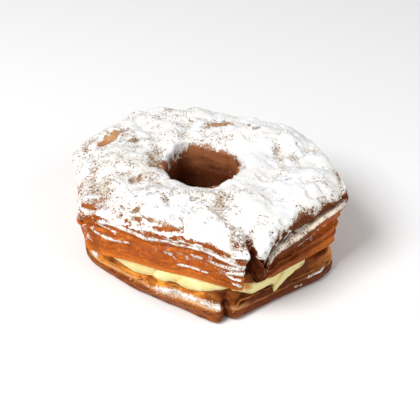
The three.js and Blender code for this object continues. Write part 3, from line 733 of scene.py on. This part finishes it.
turns = directions(620, crowd=(294, 118))
cosine, sine = np.cos(turns), np.sin(turns)
cut, foot, shoulder = lid_cut(turns), foot_reach(turns), shoulder_reach(turns)
droop, recess = around(LEAF_DROOP, turns), around(LEAF_RECESS, turns)
stand, set_back, third_lip = (around(table, turns) for table in (LEAF_STAND, SET_BACK, THIRD_LIP))
LEAF_STEPS = (0.02, 0.06, 0.1, 0.18, 0.27, 0.36, 0.45, 0.54, 0.63, 0.72, 0.8, 0.87, 0.92, 0.955, 0.98)
lips = np.broadcast_arrays(0.2, 0.42, third_lip, 1.0)
wall, levels = [], []
for n, lip in enumerate(lips):
    below = lips[n - 1] if n else 0
    share = (0.4 + 1.2 * noise(3 * cosine, 3 * sine, n * 4.7, 5)) * stand
    sunk, proud = recess * share * RECESS_SHARE[n], LEAF_PROUD[n] * share
    if n == 2:
        proud = proud + around(LEDGE_PROUD, turns)
    for part in LEAF_STEPS:
        level = below + (lip - below) * part
        belly = -sunk + (sunk - 0.1) * smooth(part, 0.08, 0.4) + (proud + 0.1) * smooth(part, 0.45, 0.93)
        edge = belly - 0.35 * max(0.0, (part - 0.93) / 0.07) ** 2
        wave = LEAF_WAVE * bumps(cosine, sine, level * 0.6, 0.35, 3) * np.sin(math.pi * level)
        height = cut + (SHOULDER_HEIGHT - cut) * np.maximum(level + wave, 0) ** droop
        uneven = (0.7 * bumps(3 * cosine, 3 * sine, n * 5.3, 1, 7)
                  + 0.35 * bumps(9 * cosine, 9 * sine, n * 3.1, 1, 8))
        plain = foot * (1 - level) + shoulder * level
        reach = plain + edge + uneven * np.minimum(1, level * 5)
        reach = reach - set_back * (1 - smooth(level / third_lip, 0.84, 0.92))
        opened = wedge(LID_SEAMS, turns, reach, smooth(height, *SEAM_RISE))
        opened += front_seam(turns, reach, height)
        wall.append((reach - opened, height))
        levels.append(level)
hole = around(HOLE_REACH, turns)
ridge = hole + (shoulder - hole) * CROWN_PLACE
rim = TOTAL_HEIGHT - RIM_DROP
edge_x, edge_y = wall[-1]
over = [
    *stretch(46, (edge_x, edge_y), (edge_x - 0.7, edge_y + 3.6),
      (ridge + (edge_x - ridge) * 0.42, TOTAL_HEIGHT), (ridge, TOTAL_HEIGHT))[1:],
    *stretch(27, (ridge, TOTAL_HEIGHT), ((ridge + hole) / 2, TOTAL_HEIGHT), (hole + 1.4, rim + 0.5),
      (hole, rim - 1.6))]
lifted = [(reach, height + crown(reach * cosine, reach * sine, shoulder) * smooth(n, -5, 16))
          for n, (reach, height) in enumerate(over)]
section = [
    *stretch(5, (hole + 0.6, cut), (wall[0][0] - 0.4, cut)), (wall[0][0] - 0.4, cut), *wall, *lifted,
    *stretch(17, (hole, rim - 1.6), (hole - 0.7, rim - 8), (hole, cut + 5), (hole + 0.6, cut))]
lid_grid = to_grid(turns, section)
WALL_ROW, OVER_ROW, HOLE_ROW = 6, 6 + len(wall), 6 + len(wall) + len(lifted)
rows = np.arange(lid_grid.shape[1])
on_wall = smooth(rows, WALL_ROW - 1, WALL_ROW + 1) * smooth(rows, OVER_ROW + 10, OVER_ROW - 2)
on_crown = smooth(rows, OVER_ROW - 4, OVER_ROW + 12) * smooth(rows, HOLE_ROW + 2, HOLE_ROW - 8)
in_hole = smooth(rows, HOLE_ROW - 8, HOLE_ROW)
x, y, z = np.moveaxis(lid_grid, 2, 0)
turn_grid = np.broadcast_to(turns[:, None], x.shape)
level_grid = np.ones_like(x)
level_grid[:, WALL_ROW:OVER_ROW] = np.stack(levels, 1)
level_grid[:, HOLE_ROW - 6:] = z[:, HOLE_ROW - 6:] / 34
level_grid[:, :WALL_ROW] = 0

# Thin leaves within the thick ones: each pushed out or in a little, its edge chipped.
WALL_SPAN = 17.0
SHEET = 1.15
SHEET_PUSH = 0.42
sheet_at = level_grid * WALL_SPAN + 0.9 * bumps(x, y, level_grid * 6, 9, 41)
sheet_at = (sheet_at + 0.4 * bumps(x, y, level_grid * 9, 3.5, 42)) / SHEET
sheet, sheet_part = np.floor(sheet_at), sheet_at - np.floor(sheet_at)
pushed, pushed_next = (bumps(x, y, n * 7.7, 7, 43) * SHEET_PUSH for n in (sheet, sheet + 1))
step = pushed + (pushed_next - pushed) * smooth(sheet_part, 0.72, 1.0)
gap = fading(sheet_part - 0.9, 0.09) * smooth(noise(x / 4, y / 4, sheet * 3.3, 44), 0.35, 0.6)
standing = around(LEAF_STAND, turn_grid)
wall_relief = (step - 0.4 * gap) * standing
wall_relief += 0.14 * bumps(x, y, z * 1.6, 1.5, 45) + 0.1 * bumps(x, y, z, 0.9, 46)
seam_depth = front_seam(turn_grid, np.hypot(x, y), z)
wall_relief *= 1 - 0.8 * smooth(seam_depth, 0.4, 1.4)
# Lumps and drifts of sugar on the crown, each size on its own turned grid; the front flap is smooth.
u, v = 0.83 * x + 0.56 * y, 0.56 * x - 0.83 * y
drifts = 0.3 * bumps(u + 0.8 * bumps(x, y, z, 4, 50), v, z, 3.3, 51) + 0.11 * bumps(v, u, z, 1.7, 52)
flap = near_turn(turn_grid, 297, math.degrees(4.5 / WALL_MEAN), 2) * smooth(np.hypot(x, y), 33, 39)
drifts = drifts * (1 - 0.8 * flap) * (1 - 0.45 * smooth(x, 5, 25))
crown_relief = drifts
for places, depth, width in TROUGHS:
    crown_relief = crown_relief - depth * fading(to_run(x, y, places), width)
pits = smooth(noise(u / 2.6, v / 2.6, z / 2.6, 53), 0.66, 0.86)
crown_relief = crown_relief - 0.8 * pits
hole_relief = 0.12 * bumps(x, y, z / 3, 2.5, 55) + 0.3 * bumps(x / 3, y / 3, z, 1.6, 56)
hole_relief += 0.2 * bumps(x, y, z, 4, 57)

# How much sugar lies at each place.
normals = facing(lid_grid + facing(lid_grid) * (crown_relief * on_crown)[..., None])
low_edge, high_edge = (around([(edge[0], edge[n]) for edge in SUGAR_EDGE], turn_grid) for n in (1, 2))
unrolled = WALL_MEAN * turn_grid
dust = 1.02 * smooth(z + 1.1 * bumps(x, y, 0, 5, 62), low_edge, high_edge)
# Where it thins out over the shoulder, it breaks into streaks along the leaves.
thinning = smooth(dust, 0.1, 0.5) * smooth(dust, 1.0, 0.8)
broken = bumps(unrolled / 7, (z + 0.5 * bumps(unrolled, z, 0, 6, 68)) / 1.1, 0, 1, 66)
broken += 0.7 * bumps(unrolled / 2.6, z / 0.7, 0, 1, 67)
even = smooth(degrees_off(turn_grid, 322), 32, 18)
dust += 0.55 * broken * thinning * (1 - 0.75 * even) + 0.25 * even * thinning * bumps(x, y, z, 1.2, 75)
# On the crown it lies thinner in the dips, in the pits and to the left.
drifted = 0.4 * np.minimum(drifts, 0.1) * (1 - 0.4 * smooth(x, 5, 25))
dust += on_crown * (0.13 * bumps(u, v, 0, 7, 63) + 0.14 * bumps(v, u, z, 2.4, 69) + drifted
                    - 0.15 * pits - 0.15 * smooth(normals[..., 2], 0.65, 0.3) + 0.12 * smooth(x, 0, 20))
dust -= 0.07 * smooth(degrees_off(turn_grid, 185), 55, 15) * on_crown
for (px, py), (half_x, half_y), turned, missing in THIN:
    angle = math.radians(turned)
    along = ((x - px) * math.cos(angle) + (y - py) * math.sin(angle)) / half_x
    across = (-(x - px) * math.sin(angle) + (y - py) * math.cos(angle)) / half_y
    ragged = along ** 2 + across ** 2 + 0.9 * bumps(x, y, 0, 1.6, 58) + 0.5 * bumps(x, y, 0, 0.8, 76)
    dust -= missing * smooth(ragged, 1.9, 0.1) * on_crown
hole_edge = (around(HOLE_EDGE, turn_grid) + 1.4 * bumps(x, y, z / 3, 1.9, 59)
             + 1.1 * bumps(x, y, z / 3, 0.8, 54))
dust += (1.1 * smooth(z, hole_edge - 2.6, hole_edge + 2.2) - dust) * in_hole
torn = noise(unrolled / 3.2, z + 0.4 * bumps(unrolled, z, 0, 3, 71), 0, 72)
torn = smooth(torn + 0.5 * noise(unrolled / 1.2, z / 0.6, 0, 74), 0.62, 0.86)
torn *= smooth(normals[..., 2], 0.9, 0.7)
dust -= streaked(turn_grid, z + 0.5 * bumps(x, y, 0, 3, 70), BARE, WALL_MEAN).sum(0) * torn
dust = np.maximum(dust, 0.1 * on_crown)
dust = np.maximum(dust - 1.3 * smooth(seam_depth, 0.8, 2.4) * smooth(z, 33, 30.5), 0.03 * on_wall)
ragged = 0.55 + 0.55 * noise(x / 1.2, y / 1.2, z, 60) + 0.45 * noise(x / 3, y / 3, z / 2, 64)
dust = np.maximum(dust, streaked(turn_grid, z, STREAKS, WALL_MEAN).max(0) * on_wall * ragged)
dust -= 0.14 * on_wall * smooth(x, 12, 22) * smooth(dust, 0.5, 0.2)  # hardly a grain on the right
from_lip = level_grid - third_lip[:, None]
ledge = fading(from_lip + 0.006, 0.042) * around(LEDGE_SUGAR, turn_grid)
dust = np.maximum(dust, ledge * (0.45 + 0.7 * noise(x / 1.1, y / 1.1, z, 65)
                                 + 0.5 * noise(x / 2.6, y / 2.6, z, 73)))
dust = np.where(z < cut[:, None] + 0.5, 0, dust)
piled = eased(smooth(dust, 0.4, 1.05), 2)
relief = eased(wall_relief * (1 - 0.6 * piled)) * on_wall + crown_relief * on_crown + hole_relief * in_hole
relief += 0.32 * piled + 0.12 * piled * bumps(x, y, z, 1.4, 61) * (1 - on_crown)
relief *= smooth(z, cut[:, None] - 0.1, cut[:, None] + 0.8)
lid_grid = lid_grid + facing(lid_grid) * relief[..., None]

# Painted shade in the hollows: the seams, the gaps between leaves, the recesses over and under the ledge and
# behind the flap, less where sugar lies thick.
opened = wedge(LID_SEAMS, turn_grid, np.hypot(x, y), smooth(z, *SEAM_RISE)) / 3
opened += 0.75 * smooth(seam_depth, 0.6, 3.6)
under_top = fading(from_lip - 0.07, 0.05) + 0.5 * fading(from_lip + 0.085, 0.03)
behind_flap = smooth(degrees_off(turn_grid, 295), 4.5, 2.5) * smooth(from_lip, 0.03, -0.02) * 0.55
hollow = (0.8 * gap * standing + under_top * around(LEAF_RECESS, turn_grid) / 2.6) * on_wall
hollow = np.clip(hollow + behind_flap + opened - 0.8 * piled, 0, 1)
# The topmost leaf browned the most. Round the right, and down the right-hand wall near 311 degrees, the
# darkening is painted shade on the side away from the key light; a narrow strip at 284 degrees is darkened
# too.
fried = smooth(level_grid, 0.72, 0.98) * (0.4 + 0.55 * near_turn(turn_grid, 318, 34))
fried = np.maximum(fried, 0.35 * near_turn(turn_grid, 284, 8, 2))
fried = np.maximum(fried, near_turn(turn_grid, 311, 22) * (0.62 + 0.2 * smooth(level_grid, 0.2, 0.6)))
fried = fried * (1 - in_hole)
lid_pastry = press_ring("lid_crust", lid_grid, {
    "dust": dust, "hollow": hollow, "level": level_grid, "hole": np.broadcast_to(in_hole, x.shape),
    "haze": on_crown * smooth(z, 33.2, 35.5), "fried": fried, "ledge": np.clip(ledge, 0, 1)})

# Colours of the crust from its dark to its light flecks, then of what is mixed into it.
CRUST_STOPS = [
    (0.34, (0.27, 0.047, 0.006)), (0.48, (0.42, 0.087, 0.009)), (0.57, (0.53, 0.128, 0.013)),
    (0.68, (0.76, 0.27, 0.045))]
# The last colour is painted shade for the hollows.
LOWER_EDGE, FRIED_AND_SHADE, SEAM_SHADE = (0.70, 0.19, 0.022), (0.105, 0.023, 0.005), (0.075, 0.016, 0.004)
THROUGH_DARK, THROUGH_PALE, BARE_TAN = (0.15, 0.10, 0.075), (0.42, 0.27, 0.17), (0.56, 0.30, 0.13)
HOLE_DEEP_SHADE, HOLE_UPPER = (0.115, 0.029, 0.010), (0.35, 0.125, 0.05)
coat = Finish("sugared_crust")
level = coat.painted("level")
apart = coat.node("SeparateXYZ", None, {"Vector": coat.place})
leaf_place = coat.node("CombineXYZ", None, {
    "X": apart, "Y": Amount(coat, apart.socket.node.outputs["Y"]), "Z": level * (WALL_SPAN * MM * 2.5)})
leafy = coat.grain(4.0, 2.0, 0.5, leaf_place, 0.4)
flecks = coat.grain(0.7, 2.0, 0.6)
mottled = leafy * 0.45 + flecks * 0.35 + coat.grain(2.4) * 0.2
crust = coat.node("ValToRGB", {"stops": CRUST_STOPS}, {"Fac": mottled})
crust = coat.mixed(level.eased(0.0, 0.3, 0.65, 0.0), crust, LOWER_EDGE)
# The topmost leaf's browning, with painted shade on the right.
crust = coat.mixed(coat.painted("fried"), crust, FRIED_AND_SHADE)
through = coat.mixed(coat.grain(1.6).eased(0.4, 0.6), THROUGH_DARK, THROUGH_PALE)
through = coat.mixed(coat.painted("dust").eased(0.5, 0.1), through, BARE_TAN)
crust = coat.mixed(coat.painted("haze") * 0.8, crust, through)
# Painted shade: the hole's inner wall darkens downwards, nearly black at the bottom.
banded = (coat.grain(2.2, 2.0, 0.5, coat.scaled(0.3, 0.3, 1)) - 0.5) * 0.35
inside = coat.mixed((level + banded).eased(0.66, 0.98), HOLE_DEEP_SHADE, HOLE_UPPER)
crust = coat.mixed(coat.painted("hole"), crust, inside)
# Painted shade: the crust is darkened in the seams, gaps and recesses.
crust = coat.mixed(coat.painted("hollow") * 0.9, crust, SEAM_SHADE)
lid_look = sugared(coat, crust, leafy.eased(0.3, 0.7, 0.4, 0.58),
                   leafy * 0.6 + flecks * 0.8, coat.painted("dust"),
                   coat.grain(2.6, 2.0, 0.55, leaf_place), coat.painted("ledge"))
lid_pastry.data.materials.append(coat.closed(*lid_look, 0.3, {"Specular IOR Level": 0.08}))
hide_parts("lid_pastry")
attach(lid_pastry, "root")


# ---- Sugar clumps ----
# Where the sifted sugar is thick it holds together in small clumps, which sit on the crown and
# on the sugared lips of the leaves.
CLUMPS = 620
CLUMP_SMALL, CLUMP_LARGE = 0.16, 0.5
chance = np.random.default_rng(12)
normals = facing(lid_grid)
thick = smooth(dust, 0.75, 1.05) * smooth(normals[..., 2], 0.0, 0.5) * np.hypot(x, y)
picked = chance.choice(thick.size, CLUMPS, p=(thick / thick.sum()).ravel())
bm = bmesh.new()
for place, normal in zip(lid_grid.reshape(-1, 3)[picked], normals.reshape(-1, 3)[picked]):
    size = CLUMP_SMALL + (CLUMP_LARGE - CLUMP_SMALL) * chance.random() ** 3
    at = (Vector(place) + Vector(normal) * size * 0.25 + Vector((*HOLE_AT, 0))) * MM
    flattened = Vector((1, chance.uniform(0.6, 1), chance.uniform(0.5, 0.8)))
    turned = Matrix.LocRotScale(at, Vector(normal).to_track_quat("Z", "Y"), flattened)
    clump = bmesh.ops.create_icosphere(bm, subdivisions=1, radius=size * MM, matrix=turned)["verts"]
    for vert in clump:
        vert.co += Vector(chance.uniform(-0.2, 0.2, 3)) * size * MM
sugar_clumps = lay_out("sugar_clumps", bm)
sugar = Finish("powdered_sugar")
sugar_clumps.data.materials.append(sugar.closed(
    sugar.mixed(sugar.grain(1.0), SUGAR_WARM, SUGAR_COOL), 0.95, sugar.grain(0.2), 0.05))
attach(sugar_clumps, "root")


# ---- Floor, light and camera ----
# A plain pale floor under soft studio light: a large key from the upper left, a weak fill from
# the right and pale surroundings. The camera looks down at the photograph's angle.
FLOOR_HALF = 1.5
FLOOR_PALE = (0.92, 0.92, 0.92, 1)
SURROUNDINGS = 0.36
bm = bmesh.new()
bmesh.ops.create_grid(bm, x_segments=1, y_segments=1, size=FLOOR_HALF)
floor = lay_out("floor", bm)
pale = Finish("pale_floor")
floor.data.materials.append(pale.closed(FLOOR_PALE, 0.8, pale.grain(2.0), 0.02))

scene = bpy.context.scene
scene.view_settings.view_transform = "Standard"
scene.world = bpy.data.worlds.new("surroundings")
scene.world.use_nodes = True
sky = scene.world.node_tree.nodes["Background"].inputs
sky["Color"].default_value, sky["Strength"].default_value = (1, 1, 1, 1), SURROUNDINGS


def softbox(name, place, size, power):
    """A square area light that looks at the middle of the ring."""
    light = bpy.data.lights.new(name, "AREA")
    light.size, light.energy = size, power
    box = bpy.data.objects.new(name, light)
    box.location = place
    box.rotation_euler = (Vector((0, 0, 0.02)) - Vector(place)).to_track_quat("-Z", "Y").to_euler()
    bpy.context.collection.objects.link(box)


softbox("key", (-0.38, -0.32, 0.62), 0.35, 6.0)
softbox("fill", (0.6, -0.3, 0.4), 0.5, 1.5)

CAMERA_TILT = math.radians(38)
CAMERA_AWAY = 0.35
PHOTO_PIXELS, FOCUS_PIXELS = 420, 994
AIM, AIM_LIFT = (0.0010, -0.0049, 0.019), 0.0014
aim = Vector(AIM) + Vector((0, math.sin(CAMERA_TILT), math.cos(CAMERA_TILT))) * AIM_LIFT
camera = bpy.data.objects.new("camera", bpy.data.cameras.new("camera"))
camera.location = aim + Vector((0, -math.cos(CAMERA_TILT), math.sin(CAMERA_TILT))) * CAMERA_AWAY
camera.rotation_euler = (math.pi / 2 - CAMERA_TILT, 0, 0)
camera.data.lens = FOCUS_PIXELS / PHOTO_PIXELS * camera.data.sensor_width
camera.data.clip_start = 0.01
bpy.context.collection.objects.link(camera)
scene.camera = camera
